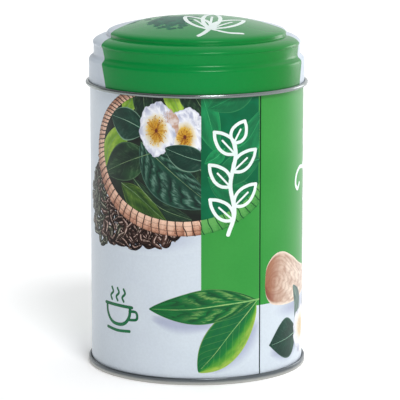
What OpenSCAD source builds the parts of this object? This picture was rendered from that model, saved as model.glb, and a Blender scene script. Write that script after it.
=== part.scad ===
// Round tea caddy: a tinplate can with a double-seamed base and a stepped, domed slip lid.
// Every piece but the sealing compound is one thickness of sheet, so each is drawn as the middle
// line of its sheet, [radius, height], and turned about the Z axis. Z = 0 is the plane that the
// base rim stands on, and the front of the tin faces -Y.

/* [Sheet] */
// Thickness of the tinplate
sheet_t = 0.28; // [0.22:0.01:0.34]

/* [Body] */
// Outer radius of the rolled wall
body_r = 50; // [46:0.5:56]
// Height of the curled top edge
body_h = 145.65; // [90:0.5:180]
// Radius of the curled top edge, to the middle of the sheet
body_curl_r = 0.75; // [0.6:0.05:0.9]
// Turn of the side seam from the front, towards +X, in degrees
seam_turn = 35.5; // [0:0.5:180]
// Width of the folded side seam
side_seam_w = 3.2; // [2.4:0.2:4]

/* [Base] */
// Height of the double seam that joins the base to the body
seam_h = 3.2; // [2.8:0.1:3.6]
// Gap between the folded layers of the double seam
seam_gap = 0.16; // [0.1:0.01:0.2]
// Height of the countersunk base panel
panel_z = 4.1; // [3.6:0.1:6]
// Radii of the stiffening rings pressed into the panel
ring_rs = [24, 38];
// Height of the stiffening rings
ring_h = 0.8; // [0.4:0.1:1.2]

/* [Lid fit] */
// Radial gap between the lid's skirt and the body
fit_gap = 0.2; // [0.12:0.02:0.3]
// Gap between the body's curled edge and the lid's sloping ledge
seat_gap = 0.15; // [0.1:0.05:0.3]
// Height of the skirt, from the middle of its curl up to the ledge
skirt_h = 11.4; // [8:0.2:20]
// Radius of the skirt's outward curl, to the middle of the sheet
skirt_curl_r = 0.83; // [0.6:0.01:0.95]

/* [Lid top] */
// Slope of the ledge, in degrees
ledge_slope = 36; // [25:1:45]
// Radius of the neck above the ledge
neck_r = 48.06; // [45:0.1:48.2]
// Height of the neck and shoulder above the ledge's outer edge
shoulder_h = 7.65; // [6:0.1:12]
// How far the shoulder stands out over the neck
shoulder_out = 0.33; // [0.2:0.05:0.6]
// Rise of the shoulder from its widest point to the groove
shoulder_rise = 2.8; // [2:0.1:4]
// Fullness of the shoulder's curve: 1 is straight and 2 is elliptical
shoulder_fullness = 1.55; // [1.3:0.05:2]
// Radius of the dome's upright edge
dome_edge_r = 41.75; // [36:0.1:42]
// Height of the dome's upright edge above the groove
dome_edge_h = 1.4; // [1:0.1:2.5]
// Radius at which the dome turns over into its edge
dome_r = 38; // [33:0.5:38.5]
// Height from the top of the edge to the crown of the dome
dome_rise = 7.1; // [6:0.1:9]
// Fall of the dome from its crown to the turn
dome_fall = 4.95; // [4:0.05:5.5]

/* [Hidden] */
$fn = 96;

// Steps in a quarter turn of a bend, and across a long curve
BEND_STEPS = 5;
CURVE_STEPS = 12;

// Middle lines of the layers of the double seam, from the inside out
layer = sheet_t + seam_gap;
wall_r = body_r - sheet_t / 2;
chuck_gap = 0.05;
chuck_r = wall_r - sheet_t - chuck_gap;
cover_hook_r = wall_r + layer;
body_hook_r = wall_r + 2 * layer;
seaming_r = wall_r + 3 * layer;
hook_float = 0.1;
body_fold_z = sheet_t + hook_float + sheet_t / 2 + layer;
cover_fold_z = seam_h - sheet_t / 2 - layer;
rim_set_back = 0.4;
panel_set_back = 1.2;

// Sealing compound, a round bead inside the cover's fold
bead_clear = 0.04;
bead_r = layer - sheet_t / 2 - bead_clear;

// Body edge
body_curl_z = body_h - sheet_t / 2 - body_curl_r;
body_curl_end = 290;
seam_groove_w = 0.7;
seam_groove_d = 0.12;
seam_layers = 3;
seam_foot_z = 7;
seam_head_z = body_h - 5;

// Lid
skirt_r = body_r + fit_gap + sheet_t / 2;
ledge_z = body_curl_z + (wall_r - body_curl_r - skirt_r) * tan(ledge_slope)
    + (body_curl_r + sheet_t + seat_gap) / cos(ledge_slope);
neck_z = ledge_z + (skirt_r - neck_r) * tan(ledge_slope);
skirt_curl_z = ledge_z - skirt_h;
skirt_curl_end = 480;
shoulder_r = neck_r + shoulder_out;
shoulder_z = ledge_z + shoulder_h;
groove_z = shoulder_z + shoulder_rise;
groove_w = 0.7;
edge_z = groove_z + dome_edge_h;
crown_z = edge_z + dome_rise;
turn_z = crown_z - dome_fall;
turn_slope = 2 * dome_fall / dome_r;
ledge_set_back = 0.9;
neck_set_back = 1.2;

function unit(v) = v / norm(v);
function reversed(list) = [for (i = [len(list) - 1:-1:0]) list[i]];

// Points of an arc about centre c, from angle a0 to a1
function arc(c, r, a0, a1) =
    let (n = ceil(abs(a1 - a0) / 90 * BEND_STEPS))
    [for (i = [0:n]) let (a = a0 + (a1 - a0) * i / n) c + r * [cos(a), sin(a)]];

// Points of a curve from p to q that leaves and arrives along its lines to c
function curve(p, c, q, n) =
    [for (i = [0:n]) let (t = i / n) (1 - t) ^ 2 * p + 2 * t * (1 - t) * c + t ^ 2 * q];

// The corner c of a line from p to q, rounded from a distance d on each side
function rounded(p, c, q, d) =
    curve(c + d * unit(p - c), c, c + d * unit(q - c), BEND_STEPS);

// A low round ring, pressed upwards across a flat panel at height z
function ring(r, z) = [for (a = [0:30:360]) [r + (a / 180 - 1) * 1.5, z + ring_h * (1 - cos(a)) / 2]];

// The line that runs beside a path at a distance d, kept off the far side of the axis
function beside(path, d) =
    let (last = len(path) - 1)
    [for (i = [0:last])
        let (a = unit(path[max(i, 1)] - path[max(i, 1) - 1]),
             b = unit(path[min(i, last - 1) + 1] - path[min(i, last - 1)]),
             m = unit(a + b),
             q = path[i] + d / (m * a) * [-m[1], m[0]])
        [max(0, q[0]), q[1]]];

// A piece of sheet, turned about the Z axis
module turned_sheet(path) {
    rotate_extrude()
        polygon(concat(beside(path, sheet_t / 2), reversed(beside(path, -sheet_t / 2))));
}

// Body: bottom hook, wall and inward curl, with its side seam
body_path = concat(
    [[body_hook_r, cover_fold_z - bead_r - bead_clear]],
    arc([cover_hook_r, body_fold_z], layer, 0, -180),
    arc([wall_r - body_curl_r, body_curl_z], body_curl_r, 0, body_curl_end));

module side_seam_fold() {
    fold_t = seam_layers * sheet_t;
    intersection() {
        translate([body_r - sheet_t - fold_t, -side_seam_w / 2, seam_foot_z])
            cube([fold_t + sheet_t, side_seam_w, seam_head_z - seam_foot_z]);
        cylinder(r = wall_r, h = body_h);
    }
}

module side_seam_groove() {
    translate([body_r - seam_groove_d, -seam_groove_w / 2, seam_foot_z])
        cube([1, seam_groove_w, seam_head_z - seam_foot_z]);
}

module body_shell() {
    color("whitesmoke")
        difference() {
            union() {
                turned_sheet(body_path);
                rotate([0, 0, seam_turn - 90]) side_seam_fold();
            }
            rotate([0, 0, seam_turn - 90]) side_seam_groove();
        }
}

// Base: countersunk panel, chuck wall, rim, seaming wall and cover hook
base_path = concat(
    [[0, panel_z]],
    [for (r = ring_rs) each ring(r, panel_z)],
    rounded([0, panel_z], [chuck_r, panel_z], [chuck_r, 0], panel_set_back),
    rounded([chuck_r, panel_z], [chuck_r, sheet_t / 2], [seaming_r, sheet_t / 2], rim_set_back),
    rounded([chuck_r, sheet_t / 2], [seaming_r, sheet_t / 2], [seaming_r, seam_h], rim_set_back),
    arc([body_hook_r, cover_fold_z], layer, 0, 180),
    [[cover_hook_r, body_fold_z]]);

module base_end() {
    color("silver") turned_sheet(base_path);
}

module seam_compound() {
    color("dimgray")
        rotate_extrude()
            translate([body_hook_r, cover_fold_z]) circle(r = bead_r, $fn = 24);
}

// Lid: dome, groove, shoulder, neck, ledge, skirt and outward curl
dome_path = [for (i = [0:CURVE_STEPS])
    let (r = dome_r * i / CURVE_STEPS) [r, crown_z - dome_fall * (r / dome_r) ^ 2]];

dome_edge_path = curve(
    [dome_r, turn_z],
    [dome_edge_r, turn_z - turn_slope * (dome_edge_r - dome_r)],
    [dome_edge_r, edge_z], CURVE_STEPS);

shoulder_path = [for (i = [0:CURVE_STEPS])
    let (a = 90 * i / CURVE_STEPS, p = 2 / shoulder_fullness, r0 = dome_edge_r + groove_w)
    [r0 + (shoulder_r - r0) * sin(a) ^ p, groove_z - shoulder_rise * (1 - cos(a) ^ p)]];

lid_path = concat(
    dome_path,
    [for (i = [1:CURVE_STEPS]) dome_edge_path[i]],
    curve([dome_edge_r, groove_z + groove_w], [dome_edge_r, groove_z],
        [dome_edge_r + groove_w, groove_z], BEND_STEPS),
    [for (i = [1:CURVE_STEPS]) shoulder_path[i]],
    curve([shoulder_r, shoulder_z - 0.4], [neck_r, shoulder_z - 0.8], [neck_r, shoulder_z - 1.2],
        BEND_STEPS),
    rounded([neck_r, shoulder_z], [neck_r, neck_z], [skirt_r, ledge_z], neck_set_back),
    rounded([neck_r, neck_z], [skirt_r, ledge_z], [skirt_r, skirt_curl_z], ledge_set_back),
    arc([skirt_r + skirt_curl_r, skirt_curl_z], skirt_curl_r, 180, skirt_curl_end));

module lid() {
    color("seagreen") turned_sheet(lid_path);
}

body_shell();
base_end();
seam_compound();
lid();
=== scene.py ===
import bisect
import math
import random

import bmesh
import bpy
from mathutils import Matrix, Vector


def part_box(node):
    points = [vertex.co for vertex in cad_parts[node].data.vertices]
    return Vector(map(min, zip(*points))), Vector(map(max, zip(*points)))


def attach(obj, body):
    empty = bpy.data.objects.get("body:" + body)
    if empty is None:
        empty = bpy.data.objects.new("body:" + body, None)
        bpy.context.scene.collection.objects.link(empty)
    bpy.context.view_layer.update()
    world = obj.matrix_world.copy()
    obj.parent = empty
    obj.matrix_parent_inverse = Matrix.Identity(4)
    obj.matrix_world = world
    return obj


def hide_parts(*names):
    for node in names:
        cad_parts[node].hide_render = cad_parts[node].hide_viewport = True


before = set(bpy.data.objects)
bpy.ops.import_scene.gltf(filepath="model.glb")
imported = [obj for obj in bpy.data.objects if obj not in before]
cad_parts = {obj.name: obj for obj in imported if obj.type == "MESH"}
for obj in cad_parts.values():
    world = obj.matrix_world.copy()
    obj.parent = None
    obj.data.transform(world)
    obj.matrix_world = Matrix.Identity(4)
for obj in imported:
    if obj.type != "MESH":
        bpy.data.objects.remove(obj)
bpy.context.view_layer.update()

MM = 0.001

# ---------------------------------------------------------------- sizes, as in the CAD model
SHEET_T = 0.28
BODY_R = 50.0
HALF_TURN = math.pi * BODY_R
LAYER = 0.44              # from one folded layer of the double seam to the next
BODY_CURL_R = 0.75
SKIRT_CURL_R = 0.83
SKIRT_H = 11.4
LEDGE_SLOPE = math.radians(36)
NECK_R = 48.06
SHOULDER_R = 48.39
SHOULDER_H = 7.65
SHOULDER_RISE = 2.8
SHOULDER_POWER = 2 / 1.55
DOME_EDGE_R = 41.75
DOME_R = 38.0
DOME_EDGE_H = 1.4
DOME_FALL = 4.95
GROOVE_W = 0.7
PANEL_Z = 4.1
RING_RS = (24.0, 38.0)
RING_H = 0.8


def reach(node):
    """How far a round node reaches from the axis on its shortest side."""
    low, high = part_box(node)
    return min(-low.x, -low.y, high.x, high.y) / MM - 0.001


WALL_R = BODY_R - SHEET_T / 2
CROWN_PRINT = 0.09        # the print on the crown, whose top is the CAD lid's top
CROWN_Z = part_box("lid")[1].z / MM - SHEET_T / 2 - CROWN_PRINT
SKIRT_R = reach("lid") - SHEET_T / 2 - 2 * SKIRT_CURL_R
SKIRT_CURL_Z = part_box("lid")[0].z / MM + SHEET_T / 2 + SKIRT_CURL_R
BODY_CURL_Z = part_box("body_shell")[1].z / MM - SHEET_T / 2 - BODY_CURL_R
RIM_R = reach("base_end") - SHEET_T / 2
LEDGE_Z = SKIRT_CURL_Z + SKIRT_H
GROOVE_Z = LEDGE_Z + SHOULDER_H + SHOULDER_RISE
SEAM_H = 3.2
PRINT_EDGE_Z = SKIRT_CURL_Z + SKIRT_CURL_R     # where the lid's print meets its curl
COVER_FOLD_Z = SEAM_H - SHEET_T / 2 - LAYER
BODY_FOLD_Z = 0.96
CHUCK_R = WALL_R - SHEET_T - 0.05
TURNS = 360               # steps round a turned piece
LID_TURNS = 320
DOME_STEPS = 20           # steps down the dome and down the shoulder
SKIRT_STEPS = (142.0, 139.0, 136.5)
PAINTED_REFLECTION_FOOT = (0.6, 2.2)    # the rim's dark band, a painted dark reflection, fades in and out between these heights
PAINTED_REFLECTION_HEAD = (3.4, 3.8)

# ---------------------------------------------------------------- the printed sheet
SEAM_S = 31.0             # where the side seam runs up the wall
SEAM_GAP = 0.12           # the white and the green stop this far from the seam's middle
SEAM_DEPTH = 0.6
SEAM_SPREAD = 0.42
SEAM_STEP = 0.05          # steps across the seam
DIP_FOOT = 5.0            # the groove outside the seam runs out at these heights
DIP_HEAD = BODY_CURL_Z - 0.4
PRINT_FOOT = 2.9
PRINT_HEAD = BODY_CURL_Z + 0.2
STRIPE = (2.0, SEAM_S - SEAM_GAP)     # the green stripe left of the seam
GREEN_FOOT = 35.5
SIDE_GREEN_END = 86.0
INK = 0.012               # one layer of print
# The straight edges of the lid's green on its flat blank: each one's bearing and distance out
LID_EDGE_LEFT = (math.radians(-124), 26.25)
LID_EDGE_RIGHT = (math.radians(141), 23.8)
FACET = 1.0               # widest step round the wall
STAINED = 10              # added to a petal's number where it has a brown stain
PETAL_STEP = 0.92         # a petal's number grows by this from its middle to its edge


# ================================================================ curves
def toward(a):
    """The unit vector at an angle."""
    return Vector((math.cos(a), math.sin(a)))


def left_of(v):
    """A vector turned a quarter to the left."""
    return Vector((-v.y, v.x))


def held(x):
    """A number, held between 0 and 1."""
    return min(1.0, max(0.0, x))


def ellipse(centre, x, y):
    """A function that gives an ellipse's point at an angle."""
    centre = Vector(centre)
    return lambda a: centre + Vector((x * math.cos(a), y * math.sin(a)))


def arc(cx, cz, r, a0, a1, per_quarter=10):
    """Points of an arc between two angles in degrees."""
    n = math.ceil(abs(a1 - a0) / 90 * per_quarter)
    turns = [math.radians(a0 + (a1 - a0) * i / n) for i in range(n + 1)]
    return [Vector((cx + r * math.cos(a), cz + r * math.sin(a))) for a in turns]


def curve(p, c, q, n=10):
    """Points of a curve from p to q that a corner c pulls."""
    p, c, q = Vector(p), Vector(c), Vector(q)
    return [(1 - t) ** 2 * p + 2 * t * (1 - t) * c + t * t * q for t in (i / n for i in range(n + 1))]


def rounded(p, c, q, d, n=10):
    """The corner c of a line from p to q, rounded from a distance d on each side."""
    p, c, q = Vector(p), Vector(c), Vector(q)
    return curve(c + (p - c).normalized() * d, c, c + (q - c).normalized() * d, n)


def beside(path, d):
    """The line that runs beside a path at a distance d."""
    out = []
    last = len(path) - 1
    for i, p in enumerate(path):
        a = (path[max(i, 1)] - path[max(i, 1) - 1]).normalized()
        b = (path[min(i, last - 1) + 1] - path[min(i, last - 1)]).normalized()
        m = (a + b).normalized()
        q = p + left_of(m) * (d / m.dot(a))
        out.append(Vector((q.x if p.x > 1e-9 else 0.0, q.y)))
    return out


def smooth(points, steps):
    """Evenly stepped points of a curve through a few given ones."""
    pts = [Vector(p) for p in points]
    pts = [pts[0] * 2 - pts[1]] + pts + [pts[-1] * 2 - pts[-2]]
    spans = len(pts) - 3
    out = []
    for i in range(steps + 1):
        x = min(i / steps * spans, spans - 1e-6)
        k, t = int(x), x - int(x)
        a, b, c, d = pts[k:k + 4]
        out.append(0.5 * (2 * b + (c - a) * t + (2 * a - 5 * b + 4 * c - d) * t ** 2
                          + (3 * b - a - 3 * c + d) * t ** 3))
    return out


def across(line, i):
    """The unit vector to the left of a line at its point i."""
    d = line[min(i + 1, len(line) - 1)] - line[max(i - 1, 0)]
    return left_of(d.normalized())


# ================================================================ materials
def srgb(r, g, b):
    """An 8-bit colour, as a shader takes it."""
    def linear(v):
        v /= 255
        return v / 12.92 if v <= 0.04045 else ((v + 0.055) / 1.055) ** 2.4
    return (linear(r), linear(g), linear(b), 1.0)


class Value:
    """A node's output, which sums and products can be made of."""

    def __init__(self, net, socket):
        self.net = net
        self.socket = socket

    def __add__(self, other):
        return self.net.math("ADD", self, other)

    def __sub__(self, other):
        return self.net.math("SUBTRACT", self, other)

    def __rsub__(self, other):
        return self.net.math("SUBTRACT", other, self)

    def __mul__(self, other):
        return self.net.math("MULTIPLY", self, other)

    def __abs__(self):
        return self.net.math("ABSOLUTE", self)


class Net:
    """A material, whose nodes are written as expressions."""

    def __init__(self, name):
        self.material = bpy.data.materials.new(name)
        self.material.use_nodes = True
        self.tree = self.material.node_tree
        self.shader = self.tree.nodes["Principled BSDF"]
        self.object = self.add("ShaderNodeTexCoord").outputs["Object"]

    def add(self, kind, **settings):
        node = self.tree.nodes.new(kind)
        for key, value in settings.items():
            setattr(node, key, value)
        return node

    def feed(self, socket, value):
        """Links an input to a value or a node's output, or sets it to a number or an 8-bit colour."""
        if isinstance(value, Value):
            value = value.socket
        if isinstance(value, bpy.types.NodeSocket):
            self.tree.links.new(value, socket)
        elif isinstance(value, tuple):
            socket.default_value = srgb(*value)
        else:
            socket.default_value = value

    def math(self, operation, a, b=0.0):
        node = self.add("ShaderNodeMath", operation=operation)
        self.feed(node.inputs[0], a)
        self.feed(node.inputs[1], b)
        return Value(self, node.outputs[0])

    def fraction(self, value):
        return self.math("FRACT", value)

    def larger(self, a, b):
        return self.math("MAXIMUM", a, b)

    def mix(self, part, a, b, blend="MIX"):
        """From the colour a to the colour b, as far as part says."""
        node = self.add("ShaderNodeMix", data_type="RGBA", blend_type=blend)
        for i, value in ((0, part), (6, a), (7, b)):
            self.feed(node.inputs[i], value)
        return Value(self, node.outputs[2])

    def span(self, value, low, high, a=0.0, b=1.0):
        """value from low..high to a..b, held at both ends and eased between them."""
        node = self.add("ShaderNodeMapRange", interpolation_type="SMOOTHSTEP")
        for socket, v in zip(node.inputs, (value, low, high, a, b)):
            self.feed(socket, v)
        return Value(self, node.outputs[0])

    def ramp(self, value, *stops):
        """The colour at a value, between stops of (value, colour)."""
        node = self.add("ShaderNodeValToRGB")
        ends = node.color_ramp.elements
        while len(ends) < len(stops):
            ends.new(0.5)
        for end, (place, colour) in zip(ends, stops):
            end.position = place
            end.color = srgb(*colour)
        self.feed(node.inputs[0], value)
        return Value(self, node.outputs[0])

    def noise(self, vector, scale, detail=2.0, stretch=(1, 1, 1)):
        """Noise over a vector, squeezed along each axis as stretch says."""
        scaled = self.add("ShaderNodeVectorMath", operation="MULTIPLY")
        self.feed(scaled.inputs[0], vector)
        scaled.inputs[1].default_value = stretch
        node = self.add("ShaderNodeTexNoise")
        self.feed(node.inputs["Vector"], scaled.outputs[0])
        node.inputs["Scale"].default_value = scale
        node.inputs["Detail"].default_value = detail
        return Value(self, node.outputs["Fac"])

    def axes(self, vector):
        """The three numbers of a vector."""
        parts = self.add("ShaderNodeSeparateXYZ")
        self.feed(parts.inputs[0], vector)
        return [Value(self, socket) for socket in parts.outputs]

    def local(self):
        """A point's place on its own shape: the whole vector, then along, across and the tone."""
        place = self.add("ShaderNodeAttribute", attribute_name="local").outputs["Vector"]
        return place, *self.axes(place)

    def finish(self, colour, rough, metallic=0.0, bump=None, height=0.00002):
        """Feeds the shader, with a bump of this height in metres."""
        self.feed(self.shader.inputs["Base Color"], colour)
        self.feed(self.shader.inputs["Roughness"], rough)
        self.feed(self.shader.inputs["Metallic"], metallic)
        if bump is not None:
            node = self.add("ShaderNodeBump")
            node.inputs["Distance"].default_value = height
            node.inputs["Strength"].default_value = 0.6
            self.feed(node.inputs["Height"], bump)
            self.feed(self.shader.inputs["Normal"], node.outputs[0])
        return self.material

    def print_finish(self, colour, shine=0.24, rough=0.29):
        """Varnished ink: faint mottle, a slight orange peel and a satin gloss."""
        mottle = self.span(self.noise(self.object, 900.0), 0.3, 0.7, 0.975, 1.015)
        colour = self.mix(1.0, colour, mottle, "MULTIPLY")
        drift = self.span(self.noise(self.object, 140.0), 0.3, 0.7, rough, rough + 0.02)
        self.shader.inputs["Specular IOR Level"].default_value = shine
        peel = self.noise(self.object, 1400.0, 1.0)
        return self.finish(colour, drift, bump=peel, height=0.000003)


WHITE = (206, 215, 224)
WHITE_SHADE = (203, 212, 222)
GREEN = (46, 143, 56)
GREEN_LIT = (52, 147, 60)


def plain_ink(name, colour, other, scale=60.0, shine=0.24):
    """A flat ink with a slow drift of tone."""
    net = Net(name)
    drift = net.span(net.noise(net.object, scale), 0.35, 0.65)
    return net.print_finish(net.mix(drift, colour, other), shine)


def lid_ink_shaded_right():
    """The lid's green, with painted shade: a little darker and yellower from the middle to the right."""
    net = Net("lid_green_shaded_ink")
    # painted shade: the green darkens towards the right-hand side
    side = net.span(net.axes(net.object)[0], 0.0, 0.052)
    return net.print_finish(net.mix(side, (0, 132, 58), (6, 122, 38)), 0.18, 0.22)


def leaf_ink(name, dark, light, vein, veins, puff, line, edge=0.3):
    """A leaf blade: soft drifts of tone, sheen on the bulges, fine side veins and a pale edge."""
    net = Net(name)
    place, t, w, tone = net.local()
    out = abs(w)
    cell = net.fraction((t - out * 0.28) * veins + net.noise(place, 2.0, 2.0, (2.0, 1.0, 5.0)))
    hump = cell * (1.0 - cell) * 4.0
    drift = net.noise(place, 1.7, 2.0, (2.0, 1.0, 7.0))
    colour = net.mix(net.span((drift - 0.5) * 1.7 + (tone - 0.5) * 0.5, -0.35, 0.75), dark, light)
    grain = net.noise(place, 6.0, 4.0, (3.0, 1.6, 9.0))
    patch = net.span(net.noise(place, 1.3, 1.0, (3.0, 1.4, 9.0)), 0.42, 0.6)
    sheen = net.span(hump * grain, 0.28, 0.6, 0.0, puff) * (patch * net.span(out, 0.1, 0.35))
    colour = net.mix(sheen, colour, vein)
    side_vein = net.span(abs(cell - 0.5), 0.45, 0.5, 0.0, line) * net.span(out, 0.5, 0.95, 1.0, 0.0)
    colour = net.mix(side_vein, colour, vein)
    return net.print_finish(net.mix(net.span(out, 0.9, 1.0, 0.0, edge), colour, vein))


def petal_ink(name, faded=0.0):
    """White petals with soft grey folds, a golden heart, and a brown stain on a stained one."""
    net = Net(name)
    _, t, w, order = net.local()
    petal = net.math("FLOOR", order)
    own = net.add("ShaderNodeCombineXYZ")
    for socket, value in zip(own.inputs, (t, w, petal)):
        net.feed(socket, value)
    fold = net.noise(own.outputs[0], 2.2, 2.0, (1.4, 2.0, 7.0))
    border = net.span(net.fraction(order), 0.72, PETAL_STEP, 0.0, 0.55)
    crease = net.larger(net.span(fold, 0.42, 0.7), border) * net.span(t, 0.45, 1.0, 0.15, 0.9)
    shade = net.mix(crease, (238, 239, 245), (156, 162, 192))
    heart = net.ramp(t + (fold - 0.5) * 0.35, (0.0, (190, 130, 30)), (0.34, (226, 184, 80)),
                     (0.5, (244, 232, 196)), (0.66, (255, 255, 255)))
    colour = net.mix(1.0, shade, net.mix(faded, heart, (250, 248, 240)), "MULTIPLY")
    stain = net.span(petal, STAINED - 0.6, STAINED - 0.4) * net.span(fold, 0.3, 0.62, 0.35, 0.85)
    return net.print_finish(net.mix(stain * net.span(t, 0.3, 0.7), colour, (186, 136, 96)))


def furrowed_ink(name, ground, lit, furrow, gloss, count=7.0, shown=(1.0, 1.1), strength=0.55):
    """A big leaf, quilted between its side veins: each bulge lit along its upper edge."""
    net = Net(name)
    place, t, w, _ = net.local()
    out = abs(w)
    wobble = net.noise(place, 2.4, 3.0, (2.0, 1.6, 5.0)) * 1.6
    cell = net.fraction(t * count - out * (count * 0.27) + wobble)
    depth = net.span(out, 0.06, 0.3) * net.span(out, 0.8, 0.98, 1.0, 0.15)
    grain = net.noise(place, 7.0, 4.0, (3.0, 2.0, 9.0))
    bulge = net.span(cell, 0.05, 0.3) * net.span(cell, 0.34, 0.7, 1.0, 0.0)
    glow = bulge * depth * net.span(grain, 0.32, 0.62) * net.span(t, *shown, 1.0, 0.0)
    dip = net.span(cell, 0.66, 0.92) * depth
    colour = net.mix(net.span(wobble, 0.5, 1.1), ground, lit)
    colour = net.mix(dip * 0.8, colour, furrow)
    colour = net.mix(glow * strength, colour, gloss)
    return net.print_finish(net.mix(net.span(out, 0.95, 1.0, 0.0, 0.35), colour, gloss))


def margin_leaf_ink():
    """A young leaf: deep green, turning yellow green towards one margin."""
    net = Net("sprig_small_ink")
    place, t, w, _ = net.local()
    out = abs(w)
    bend = (net.noise(place, 2.4, 3.0, (2.4, 1.0, 5.0)) - 0.5) * 0.7
    turn = w + bend + net.span(t, 0.55, 1.0, 0.0, 0.25)
    colour = net.ramp(turn, (0.05, (0, 96, 50)), (0.38, (12, 118, 46)), (0.66, (92, 158, 46)),
                      (0.95, (156, 184, 72)))
    blotch = net.span(net.noise(place, 5.0, 4.0, (3.0, 1.4, 7.0)), 0.4, 0.62, 0.0, 0.3)
    colour = net.mix(blotch, colour, (24, 118, 44))
    side_vein = net.span(abs(net.fraction((t - out * 0.28) * 9.0) - 0.5), 0.44, 0.5, 0.0, 0.25)
    colour = net.mix(side_vein, colour, (130, 186, 90))
    return net.print_finish(net.mix(net.span(out, 0.93, 1.0, 0.0, 0.4), colour, (180, 204, 96)))


def soft_shadow_ink(name, ground, shade):
    """Its ground's own colour at the rim, deepening towards the middle."""
    net = Net(name)
    out = net.local()[1]
    return net.print_finish(net.mix(net.span(out, 0.1, 1.0, 0.8, 0.0), ground, shade))


def cane_ink(name, dark, mid, light, split=1.0):
    """Bound cane: splints split by fine dark lines, a little rounded between the lashings."""
    net = Net(name)
    place, t, w, tone = net.local()
    fibre = net.noise(place, 4.0, 4.0, (1.2, 8.0, 40.0))
    value = (1.0 - t) * t * 1.1 + fibre * 0.9 + (tone - 0.5) * 0.22 - w * 0.2
    colour = net.ramp(value, (0.12, dark), (0.5, mid), (0.85, light))
    for line_w, strength in ((-0.36, 0.35), (0.34, 0.55)):
        colour = net.mix(net.span(abs(w - line_w), 0.03, 0.11, strength * split, 0.0), colour, dark)
    return net.print_finish(net.mix(net.span(w, 0.8, 1.0, 0.0, 0.6), colour, dark))


def twist_ink():
    """Dried tea: dark brown on one side of the heap, grey green on the other, each twist lit."""
    net = Net("dried_tea_ink")
    place, _, w, tone = net.local()
    kind = net.ramp(tone, (0.0, (32, 21, 19)), (0.4, (74, 51, 44)), (0.55, (54, 58, 46)),
                    (1.0, (52, 60, 48)))
    glint = net.ramp(tone, (0.0, (188, 158, 146)), (0.45, (222, 196, 184)),
                     (0.6, (164, 168, 146)), (1.0, (146, 152, 134)))
    grain = net.noise(place, 2.6, 3.0, (3.0, 0.7, 40.0))
    shine = net.span(w, -0.1, 0.2) * net.span(w, 0.3, 0.6, 1.0, 0.0)
    colour = net.mix(shine * net.span(grain, 0.4, 0.58), kind, glint)
    edge = net.larger(net.span(w, 0.55, 0.95), net.span(w, -0.95, -0.5, 1.0, 0.0))
    return net.print_finish(net.mix(edge, colour, (14, 11, 11)), 0.1)


def wood_ink():
    """A turned wooden scoop: growth rings that swirl round a point in its bowl."""
    net = Net("scoop_ink")
    place, t, w, _ = net.local()
    x = (t - 0.3) * 5.0
    y = (w + 0.1) * 1.5
    far = net.math("SQRT", x * x + y * y)
    wobble = net.noise(place, 3.5, 3.0)
    rings = net.math("SINE", far * 22.0 + wobble * 16.0)
    grain = net.noise(place, 3.2, 4.0, (5.0, 1.3, 1.0))
    pale = net.mix(net.span(t, 0.16, 0.55), (166, 114, 86), (230, 212, 196))
    pale = net.mix(net.span(grain, 0.38, 0.66, 0.0, 0.42), pale, (152, 98, 70))
    colour = net.mix(net.span(rings, -0.4, 1.0, 0.0, 0.28), pale, (140, 88, 62))
    blush = net.span(t, 0.12, 0.45, 1.0, 0.0) * net.span(w, -0.9, 0.6, 1.0, 0.1)
    colour = net.mix(blush * net.span(wobble, 0.25, 0.6) * 0.95, colour, (132, 70, 54))
    return net.print_finish(net.mix(net.span(abs(w), 0.86, 1.0, 0.0, 0.75), colour, (244, 230, 214)))


def stamen_ink(name, faded=0.0):
    """Golden stamens, dark red round the middle of the flower."""
    net = Net(name)
    tone = net.local()[3]
    gold = net.ramp(tone, (0.0, (104, 40, 22)), (0.25, (160, 96, 20)), (0.55, (204, 150, 34)),
                    (1.0, (244, 212, 104)))
    return net.print_finish(net.mix(faded, gold, (232, 216, 178)))


def steel(name, colour, rough, streak, foot=None):
    """Tinplate, rolled or spun: fine streaks round the axis. A foot colour leaves only a band
    up the rim in the first colour, a painted dark reflection."""
    net = Net(name)
    lines = net.noise(net.object, 1.0, 4.0, (90.0, 90.0, streak))
    shaded = [v * 0.82 for v in srgb(*colour)[:3]] + [1.0]
    tone = net.mix(net.span(lines, 0.3, 0.7), shaded, colour)
    if foot:
        height = net.axes(net.object)[2] * 1000.0
        below = net.span(height, *PAINTED_REFLECTION_FOOT, 1.0, 0.0)
        above = net.span(height, *PAINTED_REFLECTION_HEAD)
        tone = net.mix(net.larger(below, above), tone, foot)
    return net.finish(tone, net.span(lines, 0.3, 0.7, rough, rough + 0.12), 1.0, lines, 0.00001)


def sealant():
    """Dull grey sealing compound."""
    net = Net("seam_sealant")
    blotch = net.noise(net.object, 700.0)
    tone = net.mix(net.span(blotch, 0.3, 0.7), (96, 94, 90), (122, 120, 114))
    return net.finish(tone, net.span(blotch, 0.3, 0.7, 0.7, 0.85), bump=blotch)


# ================================================================ pieces
def make_piece(bm, name, body, material):
    """A piece of the shown object, which rides on a body."""
    bmesh.ops.remove_doubles(bm, verts=bm.verts[:], dist=1e-7)
    bmesh.ops.recalc_face_normals(bm, faces=bm.faces[:])
    mesh = bpy.data.meshes.new(name)
    bm.to_mesh(mesh)
    bm.free()
    mesh.materials.append(material)
    mesh.shade_smooth()
    mesh.set_sharp_from_angle(angle=math.radians(32))
    piece = bpy.data.objects.new(name, mesh)
    bpy.context.scene.collection.objects.link(piece)
    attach(piece, body)
    return piece


def seam_dip(s, z):
    """How far the wall dips where its side seam is folded in; the dip runs out at both ends."""
    d = abs((s - SEAM_S + HALF_TURN) % (2 * HALF_TURN) - HALF_TURN) / SEAM_SPREAD
    if d >= 1:
        return 0.0
    ends = min(z - DIP_FOOT, DIP_HEAD - z)
    return SEAM_DEPTH * (1 - d * d) ** 2 * held(ends)


def on_wall(s, z, level):
    """The place on the round wall of a point of the flat sheet."""
    r = BODY_R + level - seam_dip(s, z)
    return Vector((r * math.sin(s / BODY_R), -r * math.cos(s / BODY_R), z)) * MM


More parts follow.
